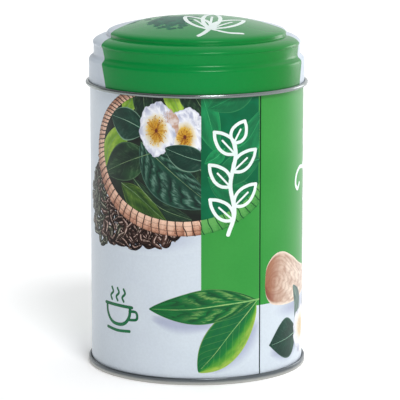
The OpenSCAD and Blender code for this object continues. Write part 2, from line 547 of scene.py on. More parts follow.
class Art:
    """Flat artwork. Each point keeps its place on its own shape, for the ink to follow."""

    def __init__(self, level, rise=INK / 20):
        self.bm = bmesh.new()
        self.local = self.bm.verts.layers.float_vector.new("local")
        self.level = level
        self.rise = rise

    def point(self, p, local, level):
        """A point of the artwork at a level, with its place on its own shape."""
        v = self.bm.verts.new((p[0], p[1], level))
        v[self.local] = local
        return v

    def grid(self, rows, level=None):
        """rows of (point, local); each call lies a hair above the one before."""
        if level is None:
            self.level += self.rise
            level = self.level
        made = [[self.point(p, local, level) for p, local in row] for row in rows]
        for a, b in zip(made, made[1:]):
            for i in range(len(a) - 1):
                self.bm.faces.new((a[i], a[i + 1], b[i + 1], b[i]))

    def strip(self, line, half, tone=0.5, columns=2):
        """A band along a line; half(t) gives its half widths to the left and to the right."""
        last = len(line) - 1
        rows = []
        for i, p in enumerate(line):
            t = i / last
            left, right = half(t)
            side = across(line, i)
            steps = [j / columns for j in range(-columns, columns + 1)]
            rows.append([(p + side * (w * (left if w > 0 else right)), (t, w, tone)) for w in steps])
        self.grid(rows)

    def leaf(self, spine, left, right, tone=0.5, peak=0.5, full=0.85, steps=44, columns=10):
        """A leaf blade along a spine from its stalk to its tip."""
        power = math.log(0.5) / math.log(peak)

        def half(t):
            grow = max(0.0, math.sin(math.pi * t ** power)) ** full
            return left * grow, right * grow
        self.strip(smooth(spine, steps), half, tone, columns)

    def rib(self, points, wide, fine, tone=0.5, steps=30):
        """A tapering line, such as a midrib."""
        self.strip(smooth(points, steps), lambda t: ((wide + (fine - wide) * t) / 2,) * 2, tone, 1)

    def stroke(self, points, width, steps=40, caps=6):
        """A line of even width with round ends."""
        line = smooth(points, steps)
        r = width / 2
        turns = [math.pi / 2 * i / caps for i in range(caps, 0, -1)]
        ends = []
        for p, q in ((line[0], line[1]), (line[-1], line[-2])):
            out = (p - q).normalized()
            ends.append([(p + out * (r * math.sin(a)), r * math.cos(a)) for a in turns])
        spine = ends[0] + [(p, r) for p in line] + ends[1][::-1]
        centres = [p for p, _ in spine]
        rows = []
        for i, (p, half) in enumerate(spine):
            side = across(centres, i)
            rows.append([(p + side * (w * half), (i / len(spine), w, 0.5)) for w in (-1, 0, 1)])
        self.grid(rows)

    def disc(self, centre, edge, local, rings=8, sectors=48):
        """A filled outline; edge(a) is its point at the angle a and local(p, k) its place."""
        centre = Vector(centre)
        turns = [2 * math.pi * j / sectors for j in range(sectors + 1)]
        rows = []
        for i in range(rings + 1):
            k = i / rings
            row = [centre + (edge(a) - centre) * k for a in turns]
            rows.append([(p, local(p, k)) for p in row])
        self.grid(rows)

    def cells(self, columns, heights, wanted):
        """The cells of a grid of lines whose middles are wanted, joined along their sides."""
        made = {}

        def corner(p):
            if p not in made:
                made[p] = self.point(p, (0, 0, 0), self.level)
            return made[p]
        for s0, s1 in zip(columns, columns[1:]):
            for z0, z1 in zip(heights, heights[1:]):
                if wanted((s0 + s1) / 2, (z0 + z1) / 2):
                    self.bm.faces.new([corner(p) for p in ((s0, z0), (s1, z0), (s1, z1), (s0, z1))])

    def cut(self, place, normal):
        """Drops what lies behind a line; its normal points to the side that stays."""
        bm = self.bm
        bmesh.ops.bisect_plane(bm, geom=bm.verts[:] + bm.edges[:] + bm.faces[:], dist=1e-6,
                               plane_co=(*place, 0), plane_no=(*normal, 0), clear_inner=True)
        return self

    def copy(self):
        """The same artwork again, to be printed elsewhere."""
        twin = Art(self.level)
        twin.bm.free()
        twin.bm = self.bm.copy()
        twin.local = twin.bm.verts.layers.float_vector["local"]
        return twin

    def sliced(self):
        """Cuts wide faces into steps that follow the round wall."""
        bm = self.bm
        low = math.floor(min(v.co.x for v in bm.verts) / FACET)
        high = math.ceil(max(v.co.x for v in bm.verts) / FACET)
        for i in range(low, high):
            bmesh.ops.bisect_plane(bm, geom=bm.verts[:] + bm.edges[:] + bm.faces[:], dist=1e-6,
                                   plane_co=(i * FACET, 0, 0), plane_no=(1, 0, 0))
        return self

    def piece(self, name, material, body="tin", slot="printed_tinplate", place=on_wall, shift=0.0):
        """Wraps the artwork onto the tin and gives each shape the thickness of one layer."""
        bm = self.bm
        bmesh.ops.remove_doubles(bm, verts=bm.verts[:], dist=1e-4)
        made = bmesh.ops.extrude_face_region(bm, geom=bm.faces[:], use_keep_orig=True)
        top = {g for g in made["geom"] if isinstance(g, bmesh.types.BMVert)}
        for v in bm.verts:
            v.co = place(v.co.x + shift, v.co.y, v.co.z - (0.0 if v in top else INK))
        return make_piece(bm, name, body, material)


def even_turns(count):
    """Even steps right round the wall."""
    return [2 * HALF_TURN * i / count for i in range(count)]


def turned(name, section, body, material, turns, dip=False):
    """A closed section turned about the Z axis, with a ring at each place round the wall."""
    bm = bmesh.new()
    rings = []
    for s in turns:
        a = s / BODY_R
        ring = []
        for p in section:
            r = p.x - (seam_dip(s, p.y) if dip else 0.0)
            ring.append(bm.verts.new(Vector((r * math.sin(a), -r * math.cos(a), p.y)) * MM))
        rings.append(ring)
    for a, b in zip(rings, rings[1:] + rings[:1]):
        for i in range(len(section)):
            k = (i + 1) % len(section)
            bm.faces.new((a[i], a[k], b[k], b[i]))
    return make_piece(bm, name, body, material)


def sheet_section(path):
    """The outline of a sheet along its middle line."""
    return beside(path, SHEET_T / 2) + beside(path, -SHEET_T / 2)[::-1]


# ================================================================ the metal
def body_line():
    """The body's middle line, from its hook in the double seam to its curl."""
    heights = (DIP_FOOT, DIP_FOOT + 1, 40.0, 80.0, 120.0, DIP_HEAD - 1, DIP_HEAD)
    wall = [Vector((WALL_R, z)) for z in heights]
    return ([Vector((WALL_R + 2 * LAYER, COVER_FOLD_Z - 0.3))]
            + arc(WALL_R + LAYER, BODY_FOLD_Z, LAYER, 0, -180) + wall
            + arc(WALL_R - BODY_CURL_R, BODY_CURL_Z, BODY_CURL_R, 0, 290))


def ring(r):
    """A stiffening ring pressed into the base panel."""
    turn = [math.radians(a) for a in range(0, 361, 20)]
    return [Vector((r + (a / math.pi - 1) * 1.5, PANEL_Z + RING_H * (1 - math.cos(a)) / 2)) for a in turn]


def base_line():
    """The base's middle line, from the middle of its panel round the double seam to its hook."""
    return ([Vector((0, PANEL_Z))] + [p for r in RING_RS for p in ring(r)]
            + rounded((0, PANEL_Z), (CHUCK_R, PANEL_Z), (CHUCK_R, 0), 1.2)
            + rounded((CHUCK_R, PANEL_Z), (CHUCK_R, SHEET_T / 2), (RIM_R, SHEET_T / 2), 0.4)
            + rounded((CHUCK_R, SHEET_T / 2), (RIM_R, SHEET_T / 2), (RIM_R, SEAM_H), 0.4)
            + arc(WALL_R + 2 * LAYER, COVER_FOLD_Z, LAYER, 0, 180)
            + [Vector((WALL_R + LAYER, BODY_FOLD_Z))])


def lid_line():
    """The lid's middle line: from the crown to the end of the print, and then the curl."""
    edge_z = GROOVE_Z + DOME_EDGE_H
    turn_z = CROWN_Z - DOME_FALL
    fall = 2 * DOME_FALL / DOME_R * (DOME_EDGE_R - DOME_R)
    neck_z = LEDGE_Z + (SKIRT_R - NECK_R) * math.tan(LEDGE_SLOPE)
    shoulder_z = LEDGE_Z + SHOULDER_H
    radii = [DOME_R * i / DOME_STEPS for i in range(DOME_STEPS + 1)]
    dome = [Vector((r, CROWN_Z - DOME_FALL * (r / DOME_R) ** 2)) for r in radii]
    edge = curve((DOME_R, turn_z), (DOME_EDGE_R, turn_z - fall), (DOME_EDGE_R, edge_z), 16)
    groove = curve((DOME_EDGE_R, GROOVE_Z + GROOVE_W), (DOME_EDGE_R, GROOVE_Z),
                   (DOME_EDGE_R + GROOVE_W, GROOVE_Z))
    r0 = DOME_EDGE_R + GROOVE_W
    shoulder = []
    for i in range(1, DOME_STEPS + 1):
        a = math.pi / 2 * i / DOME_STEPS
        shoulder.append(Vector((r0 + (SHOULDER_R - r0) * math.sin(a) ** SHOULDER_POWER,
                                GROOVE_Z - SHOULDER_RISE * (1 - max(0.0, math.cos(a)) ** SHOULDER_POWER))))
    tuck = curve((SHOULDER_R, shoulder_z - 0.4), (NECK_R, shoulder_z - 0.8), (NECK_R, shoulder_z - 1.2))
    neck = rounded((NECK_R, shoulder_z), (NECK_R, neck_z), (SKIRT_R, LEDGE_Z), 1.2)
    ledge = rounded((NECK_R, neck_z), (SKIRT_R, LEDGE_Z), (SKIRT_R, SKIRT_CURL_Z), 0.9)
    skirt = [Vector((SKIRT_R, z)) for z in (*SKIRT_STEPS, PRINT_EDGE_Z)]
    curl = arc(SKIRT_R + SKIRT_CURL_R, SKIRT_CURL_Z, SKIRT_CURL_R, 180, 480, 12)
    return dome + edge[1:] + groove + shoulder + tuck + neck + ledge + skirt, curl


def build_metal():
    """The body's wall, the base cover and the lid, each a sheet with its folds."""
    plate = steel("tinplate", (136, 143, 142), 0.16, 2600.0)
    inner_plate = steel("inner_tinplate", (228, 229, 228), 0.42, 700.0)
    # The dark band up the rim is a painted dark reflection; the rest of the cover takes the lighter foot
    # colour.
    rim_plate_painted_reflection = steel("rim_tinplate_painted_reflection", (100, 106, 110), 0.26, 3200.0, (178, 178, 174))
    near_seam = [SEAM_S + SEAM_SPREAD * i / 8 for i in range(-8, 9)]
    turns = [s for s in even_turns(TURNS) if abs(s - SEAM_S) > SEAM_SPREAD + 0.1]
    wall = turned("body_wall", sheet_section(body_line()), "tin", inner_plate,
                  sorted(turns + near_seam), True)
    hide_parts("body_shell")
    base = turned("base_cover", sheet_section(base_line()), "tin", rim_plate_painted_reflection,
                  even_turns(TURNS))
    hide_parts("base_end")
    printed, curl = lid_line()
    lid = turned("lid_pressing", sheet_section(printed + curl), "lid", plate,
                 even_turns(LID_TURNS))
    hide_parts("lid")
    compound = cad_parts["seam_compound"].data.materials
    compound.clear()
    compound.append(sealant())


# ================================================================ the plain grounds
def build_grounds():
    """The sheet's white and green, laid edge to edge, and a dark strip of painted shade over the side seam's
    groove.
    """
    turn = 2 * HALF_TURN
    first = SEAM_S + SEAM_GAP
    last = SEAM_S - SEAM_GAP + turn
    stripe = [s + HALF_TURN for s in STRIPE]
    edges = {first, last, SIDE_GREEN_END, stripe[0], stripe[1], STRIPE[0] + turn}
    edges |= {first + SEAM_STEP * i for i in range(1, 7)} | {last - SEAM_STEP * i for i in range(1, 7)}
    steps = [FACET * i for i in range(int(first) + 2, int(last))]
    columns = sorted(edges | {s for s in steps if min(abs(s - e) for e in edges) > 0.2})
    heights = [PRINT_FOOT, DIP_FOOT, DIP_FOOT + 1, 20.0, GREEN_FOOT, 60.0, 90.0, 120.0, DIP_HEAD - 1,
               DIP_HEAD, PRINT_HEAD]

    def is_green(s, z):
        beside_seam = s < SIDE_GREEN_END or s > STRIPE[0] + turn
        return z > GREEN_FOOT and (beside_seam or stripe[0] < s < stripe[1])
    white = Art(2 * INK)
    green = Art(2 * INK)
    white.cells(columns, heights, lambda s, z: not is_green(s, z))
    green.cells(columns, heights, is_green)
    white.piece("print_white", plain_ink("white_ink", WHITE, WHITE_SHADE))
    green.piece("print_green", plain_ink("green_ink", GREEN, GREEN_LIT, 30.0), slot="printed_green")
    # A dark strip along the side seam: painted shade for the shadow in its groove.
    seam_shade = Art(3.2 * INK)
    seam_shade.cells([SEAM_S + SEAM_STEP * i for i in range(-6, 7)], heights, lambda s, z: True)
    seam_shade.piece("seam_painted_shade", plain_ink("seam_painted_shade_ink", (24, 44, 36), (34, 56, 46), 300.0))


class Blank:
    """The lid's flat blank: a point's distance from the middle is measured along the formed lid."""

    def __init__(self):
        self.line = lid_line()[0]
        self.out = [0.0]
        for p, q in zip(self.line, self.line[1:]):
            self.out.append(self.out[-1] + (q - p).length)
        self.lean = [q - p for p, q in zip(self.line, beside(self.line, 1.0))]

    def place(self, x, y, level):
        """The place on the formed lid of a point of the flat blank."""
        far = math.hypot(x, y)
        i = min(max(bisect.bisect_right(self.out, far) - 1, 0), len(self.out) - 2)
        t = (far - self.out[i]) / (self.out[i + 1] - self.out[i])
        p = self.line[i].lerp(self.line[i + 1], t)
        p = p + self.lean[i].lerp(self.lean[i + 1], t) * (SHEET_T / 2 + level)
        turn = math.atan2(x, -y)
        return Vector((p.x * math.sin(turn), -p.x * math.cos(turn), p.y)) * MM

    def sheet(self):
        """Ink over the whole blank."""
        art = Art(2 * INK)
        turns = [2 * math.pi * j / TURNS for j in range(TURNS + 1)]
        art.grid([[((far * math.sin(a), -far * math.cos(a)), (0, 0, 0)) for a in turns]
                  for far in self.out])
        return art


def lid_edge(bearing, far):
    """A point of a straight edge of the lid's green, and the way out of the green from it."""
    out = Vector((math.sin(bearing), -math.cos(bearing)))
    return out * far, out


def build_lid_print(blank):
    """The lid's green panel between two straight edges, and the white beyond them."""
    left_place, left_out = lid_edge(*LID_EDGE_LEFT)
    right_place, right_out = lid_edge(*LID_EDGE_RIGHT)
    green = blank.sheet().cut(left_place, -left_out).cut(right_place, -right_out)
    green.piece("lid_green", lid_ink_shaded_right(), "lid", "printed_green", blank.place)
    white = plain_ink("lid_white_ink", (196, 206, 216), (193, 203, 214), 60.0, 0.1)
    left = blank.sheet().cut(left_place, left_out)
    left.piece("lid_white_left", white, "lid", place=blank.place)
    right = blank.sheet().cut(right_place, right_out).cut(left_place, -left_out)
    right.piece("lid_white_right", white, "lid", place=blank.place)


# ================================================================ the basket picture
RIM_INSIDE = ellipse((-8, 106.5), 43.0, 30.3)
RIM_OUTSIDE = ellipse((-8, 105.0), 48.5, 35.5)
RIM_ENDS = (60.0, 332.0)      # where the rim runs out at the top, in degrees


def rim_point(turn, w):
    """A point of the basket's rim at an angle in degrees; w runs from its inside to its outside."""
    a = math.radians(turn)
    return RIM_INSIDE(a).lerp(RIM_OUTSIDE(a), (w + 1) / 2)


def rim_turns():
    """Where the lashings cross the rim: closer on the far side of the basket."""
    first, last = RIM_ENDS
    turns = [first]
    while turns[-1] < last:
        a = math.radians(turns[-1])
        radius = math.hypot(46 * math.sin(a), 33 * math.cos(a))
        gap = 2.2 + 1.8 * max(0.0, -math.sin(a)) ** 0.7
        turns.append(turns[-1] + math.degrees(gap / radius))
    return turns


def basket_rim():
    """The canes of the rim, and the lashings that bind them."""
    rng = random.Random(5)
    canes = Art(9 * INK)
    lashings = Art(10 * INK, rise=0.0)
    turns = rim_turns()
    for a, b in zip(turns, turns[1:]):
        tone = rng.random()
        canes.grid([[(rim_point(a + (b - a) * i / 5, w / 6), (i / 5, w / 6, tone))
                     for w in range(-6, 7)] for i in range(6)], canes.level)
    for a in turns:
        lean = rng.uniform(0.4, 1.8)
        sway = rng.uniform(-0.5, 0.5)
        line = [rim_point(a + lean * k * k + sway * math.sin(6 * k), -1.06 + 2.12 * k)
                for k in (0.0, 0.35, 0.7, 1.0)]
        lashings.rib(line, 0.52, 0.44, rng.random(), 10)
    return canes, lashings


# Each leaf: its spine from stalk to tip, how wide it is to the left and right of it, and its tone.
DARK_LEAVES = (
    (((-24, 142), (-25, 132), (-23, 118)), 4.5, 6.0, 0.1),
    (((-6, 142), (-1, 134), (5, 124)), 6.0, 7.0, 0.05),
    (((-6, 106), (1, 101), (7, 92)), 6.0, 10.0, 0.3),
    (((-31, 95), (-18, 83), (-2, 77)), 4.0, 5.5, 0.25),
    (((-22, 107), (-35, 102), (-49.8, 95.5)), 8.5, 9.2, 0.6))
LEFT_LEAF = ((((-24, 117.5), (-34, 121), (-44.3, 122.8)), 9.2, 6.2, 0.5),)
FRONT_LEAF = ((((6, 103.5), (-4, 106.0), (-14.6, 110.0)), 6.6, 5.4, 0.4),)
EMBOSSED_LEAF = ((((-26.5, 112), (-11, 98.5), (7, 83.5)), 6.0, 14.0, 0.5),)
OLIVE_LEAVES = ((((-38, 92), (-28, 86.8), (-13, 75)), 3.6, 7.4, 0.5),)
LIGHT_LEAVES = (
    (((-50.5, 98), (-45.5, 109), (-33, 121)), 4.5, 9.5, 0.5),
    (((-37, 124), (-32, 131), (-28.5, 142)), 5.0, 4.0, 0.4),
    (((-16, 142), (-10.5, 133), (-6.5, 122)), 3.6, 4.6, 0.7))
TINTED_LEAVES = (
    (((1, 140), (5, 126), (10, 107)), 5.0, 7.5, 0.85),
    (((30, 142), (18, 134), (5, 128)), 7.0, 6.5, 0.35),
    (((13, 110), (9, 106), (3.5, 103)), 3.4, 3.4, 1.0),
    (((34, 128), (24, 113), (13, 108)), 7.0, 6.0, 0.55),
    (((5, 97), (16, 90), (31, 88)), 6.5, 6.0, 0.3),
    (((31, 104), (19, 101), (7, 92)), 7.5, 6.0, 0.15))


def leaves_of(table, level, full=0.85):
    """The blades of a table of leaves."""
    art = Art(level)
    for spine, left, right, tone in table:
        art.leaf(spine, left, right, tone, full=full)
    return art


def ribs_of(tables, level):
    """The midribs of some tables of leaves."""
    art = Art(level)
    for table in tables:
        for spine, _, _, tone in table:
            art.rib(spine, 0.34, 0.1, tone)
    return art


def flower_petals(art, rng, centre, size, slim, eye, stained):
    """Six ruffled petals round a centre. The tone of a petal is its number."""
    squeeze = Vector((slim, 1.0))
    for i in range(6):
        a = 0.35 + math.pi / 3 * i + rng.uniform(-0.12, 0.12)
        out = toward(a)
        side = left_of(out)
        length = size * rng.uniform(0.93, 1.04)
        phase = rng.uniform(0, 6)
        order = i + (STAINED if i == stained else 0)

        def edge(turn):
            ruffle = 1 + 0.05 * math.sin(6 * turn + phase) + 0.03 * math.sin(13 * turn + 2 * phase)
            p = out * (length * (0.5 + 0.5 * math.cos(turn) * ruffle))
            p += side * (size * 0.56 * math.sin(turn) * ruffle)
            return centre + p * squeeze

        def place(p, k):
            q = Vector(((p - eye).x / slim, (p - eye).y))
            return q.length / size, q.dot(side) / size, order + 0.01 + (PETAL_STEP - 0.01) * k
        art.disc(centre + out * (length * 0.5) * squeeze, edge, place, 7, 48)


THREADS = 120             # stamens of a flower


def flower_stamens(art, rng, slim, eye, eye_size):
    """Threads with a dot at each tip, darker towards the eye."""
    squeeze = Vector((slim, 1.0))
    for _ in range(THREADS):
        a = rng.uniform(0, 2 * math.pi)
        far = math.sqrt(rng.uniform(0.0, 1.0))
        tip = toward(a) * (far * eye_size) * squeeze
        tone = held(far * 0.75 + rng.uniform(-0.35, 0.3))
        art.rib([eye + tip * 0.3, eye + tip * 0.65 + tip.orthogonal() * 0.06, eye + tip],
                0.22, 0.14, tone * 0.7, 4)
        dot = rng.uniform(0.2, 0.34)
        art.disc(eye + tip, ellipse(eye + tip, dot, dot), lambda p, k: (k, 0, tone), 1, 8)
    heart = eye + Vector((0.1, 0.1))
    art.disc(heart, ellipse(heart, 0.7, 0.9), lambda p, k: (k, 0, 0.0), 1, 16)


def flower(petals, stamens, centre, size, slim, seed, eye, eye_size, stained=None):
    """Petals round a centre, and stamens round an eye of their own."""
    rng = random.Random(seed)
    centre = Vector(centre)
    eye = Vector(eye)
    flower_petals(petals, rng, centre, size, slim, eye, stained)
    flower_stamens(stamens, rng, slim, eye, eye_size)
    return petals, stamens


HEAP_EDGE = ((-54, 100.5), (-59.5, 96), (-63.5, 89), (-65.5, 81), (-64.5, 72), (-60, 65.5), (-52, 62.5),
             (-44, 62.5), (-36, 63), (-29, 65), (-21, 65), (-14, 67), (-9, 70.5), (-20, 75), (-40, 80),
             (-50, 92))
HEAP_BED = ((-53, 98), (-57.5, 90), (-57, 78), (-50, 70.5), (-36, 70), (-24, 70.8), (-12, 74))
TWISTS = 210


def inside(p, outline):
    """Whether a point lies inside an outline."""
    odd = False
    for (x0, y0), (x1, y1) in zip(outline, outline[1:] + outline[:1]):
        if (y0 > p[1]) != (y1 > p[1]) and p[0] < x0 + (p[1] - y0) * (x1 - x0) / (y1 - y0):
            odd = not odd
    return odd


def tea_heap():
    """Twists of dried tea over a dark bed: brown at the front of the heap, greyer at its side."""
    rng = random.Random(11)
    art = Art(3.4 * INK)
    art.strip(smooth(HEAP_BED, 50),
              lambda t: (6.8 * math.sin(math.pi * min(1, 0.1 + t * 0.85)) ** 0.5,) * 2, 0.25)
    made = 0
    while made < TWISTS:
        p = Vector((rng.uniform(-66, -8), rng.uniform(61, 105)))
        if not inside(p, HEAP_EDGE):
            continue
        made += 1
        lit = held((-p.x - 44) / 16)
        tone = held(rng.gauss(0.16 + 0.62 * lit, 0.17))
        art.level = (4 + 2.5 * made / TWISTS) * INK
        a = rng.gauss(1.3, 0.8) if lit > 0.5 else rng.gauss(-0.55, 0.8)
        along = toward(a)
        bend = left_of(along) * rng.uniform(-3.0, 3.0)
        half = along * rng.uniform(2.4, 4.8) * (1 - 0.25 * lit)
        wide = rng.uniform(1.0, 1.9)
        art.strip(smooth((p - half, p - half * 0.3 + bend, p + half * 0.4 + bend * 0.6, p + half), 14),
                  lambda t: (wide * math.sin(math.pi * min(1, 0.08 + t * 0.9)) ** 0.6,) * 2, tone, 3)
    return art


def soft_leaf(art, spine, left, right):
    """A leaf-shaped shadow that fades to its edge."""
    line = smooth(spine, 40)
    rows = []
    for i, p in enumerate(line):
        t = i / 40
        side = across(line, i)
        grow = max(0.0, math.sin(math.pi * t)) ** 0.7
        rows.append([(p + side * (w / 10 * grow * (left if w > 0 else right)),
                      (max(abs(w / 10), abs(2 * t - 1) ** 3), 0, 0)) for w in range(-10, 11)])
    art.grid(rows)


NATURAL = STRIPE[0]       # the pictures have their own colours up to here
TINTED = STRIPE[1]        # and are tinted green up to here
BASKET_MIDDLE = (-8, 105.8)
BASKET_INSIDE = (45.8, 33.0)


def basket_inside():
    """The dark inside of the basket, and its tinted part up to the top of the stripe."""
    s_middle, z_middle = BASKET_MIDDLE
    wide, high = BASKET_INSIDE
    natural = Art(4 * INK)
    outline = ellipse(BASKET_MIDDLE, wide, high)
    natural.disc(BASKET_MIDDLE, outline, lambda p, k: (p.x / 10, p.y / 10, 0), 10, 96)

    def foot(s):
        return z_middle - high * math.sqrt(1 - ((s - s_middle) / wide) ** 2)
    columns = [NATURAL + (TINTED - NATURAL) * i / 30 for i in range(31)]
    tinted = Art(4 * INK)
    tinted.grid([[(Vector((s, foot(s) + (PRINT_HEAD - foot(s)) * k / 16)), (s / 10, k, 0)) for s in columns]
                 for k in range(17)])
    return natural.cut((NATURAL, 0), (-1, 0)).sliced(), tinted


def picture_shadows():
    """The soft shadows under the heap of tea and under the sprig."""
    heap = Art(3 * INK)
    heap.disc((-27, 69), ellipse((-27, 69), 37.0, 9.5), lambda p, k: (k, 0, 0), 10, 64)
    sprig = Art(3 * INK)
    soft_leaf(sprig, ((-23, 31), (-8, 28), (12, 28)), 5.0, 5.5)
    soft_leaf(sprig, ((30, 30), (21, 17), (5, 5)), 8.0, 5.5)
    sprig.cut((0, GREEN_FOOT), (0, -1)).cut((SEAM_S - 0.5, 0), (-1, 0))
    return heap.cut((NATURAL, 0), (-1, 0)).sliced(), sprig.sliced()


def flowers():
    """The basket's two flowers: their petals and their stamens."""
    petals = Art(9 * INK)
    stamens = Art(10 * INK, INK / 500)
    flower(petals, stamens, (-4.0, 117.4), 11.4, 0.76, 3, (-5.4, 115.2), 5.0)
    return flower(petals, stamens, (-17.9, 118.9), 13.0, 0.75, 8, (-18.8, 117.6), 7.0, 0)


def sprig():
    """The two leaves below the basket and their ribs."""
    big = Art(7 * INK)
    big.leaf(((29, 38.3), (12, 37.2), (-4, 35.4), (-22.8, 34.6)), 7.8, 8.4, 0.5, 0.5, 0.85, 60, 14)
    small = Art(6 * INK)
    small.leaf(((28.5, 37.5), (17, 25), (8, 14), (0.8, 5.8)), 9.8, 9.6, 0.5, 0.45, 0.75, 56, 14)
    big_rib = Art(8 * INK)
    big_rib.rib(((30.6, 38.4), (12, 37.2), (-4, 35.4), (-21, 34.7)), 0.7, 0.1)
    small_rib = Art(6.6 * INK)
    small_rib.rib(((29.5, 38), (17, 25), (8, 14), (2, 7.5)), 0.36, 0.1)
    return big, big_rib, small, small_rib


def build_pictures(inks):
    """The basket, the sprig below it and their ornaments, printed twice round the tin."""
    inner, inner_tint = basket_inside()
    canes, lashings = basket_rim()
    heap_shadow, sprig_shadow = picture_shadows()
    petals, stamens = flowers()
    big, big_rib, small, small_rib = sprig()
    ribbed = (DARK_LEAVES, EMBOSSED_LEAF, OLIVE_LEAVES, LIGHT_LEAVES)
    parts = (          # each piece's name, artwork and ink, and on which side of the stripe's edge it lies
        ("heap_shadow", heap_shadow, "shadow", None),
        ("sprig_shadow", sprig_shadow, "shadow", None),
        ("dried_tea", tea_heap(), "tea", None),
        ("basket_inside", inner, "inside", None),
        ("basket_inside_tint", inner_tint, "inside_tint", None),
        ("leaves_light", leaves_of(LIGHT_LEAVES, 5 * INK), "leaf_light", -1),
        ("leaves_dark", leaves_of(DARK_LEAVES, 6 * INK), "leaf_dark", -1),
        ("leaf_embossed", leaves_of(EMBOSSED_LEAF, 7 * INK, 0.7), "leaf_embossed", -1),
        ("leaf_left", leaves_of(LEFT_LEAF, 8.5 * INK, 0.7), "leaf_front", -1),
        ("leaf_olive", leaves_of(OLIVE_LEAVES, 6.6 * INK), "leaf_olive", -1),
        ("leaf_ribs", ribs_of(ribbed, 8 * INK), "rib", -1),
        ("leaves_tint", leaves_of(TINTED_LEAVES, 6 * INK), "leaf_tint", 1),
        ("leaf_ribs_tint", ribs_of((TINTED_LEAVES,), 8 * INK), "rib_tint", 1),
        ("petals", petals, "petal", -1),
        ("stamens", stamens, "stamen", -1),
        ("leaf_front", leaves_of(FRONT_LEAF, 10.6 * INK, 0.75), "leaf_front", -1),
        ("leaf_left_rib", ribs_of((LEFT_LEAF,), 8.8 * INK), "rib_front", -1),
        ("leaf_front_ribs", ribs_of((FRONT_LEAF,), 11.2 * INK), "rib_front", -1),
        ("basket_rim", canes.copy(), "cane", -1),
        ("basket_lashings", lashings.copy(), "lashing", -1),
        ("basket_rim_tint", canes, "cane_tint", 1),
        ("basket_lashings_tint", lashings, "lashing_tint", 1),
        ("sprig_leaf_small", small, "sprig_small", None),
        ("sprig_rib_small", small_rib, "sprig_rib", None),
        ("sprig_leaf_big", big, "sprig_big", None),
        ("sprig_rib_big", big_rib, "sprig_rib", None),
        ("stripe_ornament", stripe_ornament(), "ornament_white", None),
        ("cup_ornament", cup_ornament(), "ornament_green", None))
    for name, art, ink, side in parts:
        if side:
            art.cut((NATURAL, 0), (side, 0))
        if side == 1:
            art.cut((TINTED, 0), (-1, 0))
        art.copy().piece(name, inks[ink])
        art.piece(name + "_back", inks[ink], shift=HALF_TURN)


# ================================================================ the ornaments
def leaf_outline(art, base, tip, wide, line):
    """A leaf in outline, with half a midrib."""
    base = Vector(base)
    tip = Vector(tip)
    along = tip - base
    side = left_of(along).normalized() * wide
    left = [base + along * k + side * w for k, w in ((0.22, 0.8), (0.5, 1.0), (0.8, 0.6))]
    right = [base + along * k - side * w for k, w in ((0.8, 0.6), (0.5, 1.0), (0.22, 0.8))]
    art.stroke([base] + left + [tip], line, 24)
    art.stroke([tip] + right + [base], line, 24)
    art.stroke([base + along * 0.06, base + along * 0.62], line * 0.6, 8)


def stripe_ornament():
    """A line-drawn sprig that climbs the green stripe."""
    art = Art(11 * INK)
    art.stroke(((14.5, 70), (17.5, 80), (15.5, 93), (18, 106), (17, 113)), 1.9, 60)
    for base, tip in (((17, 76.5), (6, 86.5)), ((17.2, 83), (28.4, 92.5)), ((15.6, 92), (5.8, 102.5)),
                      ((16.5, 99), (28.2, 108.5)), ((17.8, 107), (8, 117.5)), ((17, 112), (22.5, 122))):
        leaf_outline(art, base, tip, 3.6, 1.5)
    return art


def cup_ornament():
    """A small cup with steam over it."""
    art = Art(5 * INK)
    art.stroke(((-49, 34), (-48.4, 29.5), (-45.5, 26), (-41, 25), (-36.5, 26), (-33.6, 29.5), (-33, 34)), 1.6)
    art.stroke(((-50, 34), (-32, 34)), 1.5, 8)
    art.stroke(((-33.4, 32.2), (-29.6, 32), (-29.4, 28.8), (-34, 28)), 1.3, 20)
    art.stroke(((-48.5, 22.6), (-41, 22), (-33.5, 22.6)), 1.4, 12)
    for s in (-45, -41, -37):
        art.stroke(((s, 36.2), (s - 0.9, 38), (s + 0.9, 40), (s, 42)), 1.15, 16)
    return art


def side_ornament():
    """A white line-drawn flourish with leaves, on the green beside the seam."""
    art = Art(5 * INK)
    art.stroke(((63.6, 88), (60.8, 85.8), (58.2, 88.4), (59.4, 92.8), (64, 95.4), (70.5, 95.2), (76, 99),
                (78.5, 108), (78, 119)), 1.8, 70)
    art.stroke(((70.5, 95.2), (76.5, 91), (79, 82), (78.5, 71)), 1.6, 40)
    for base, tip in (((77.6, 103), (72.4, 112)), ((78.4, 109), (83.2, 118)), ((78, 118), (76, 129)),
                      ((79, 86), (73, 78.5)), ((79, 79), (83.6, 71.5)), ((78.6, 71), (77, 60))):
        leaf_outline(art, base, tip, 2.5, 1.2)
    return art


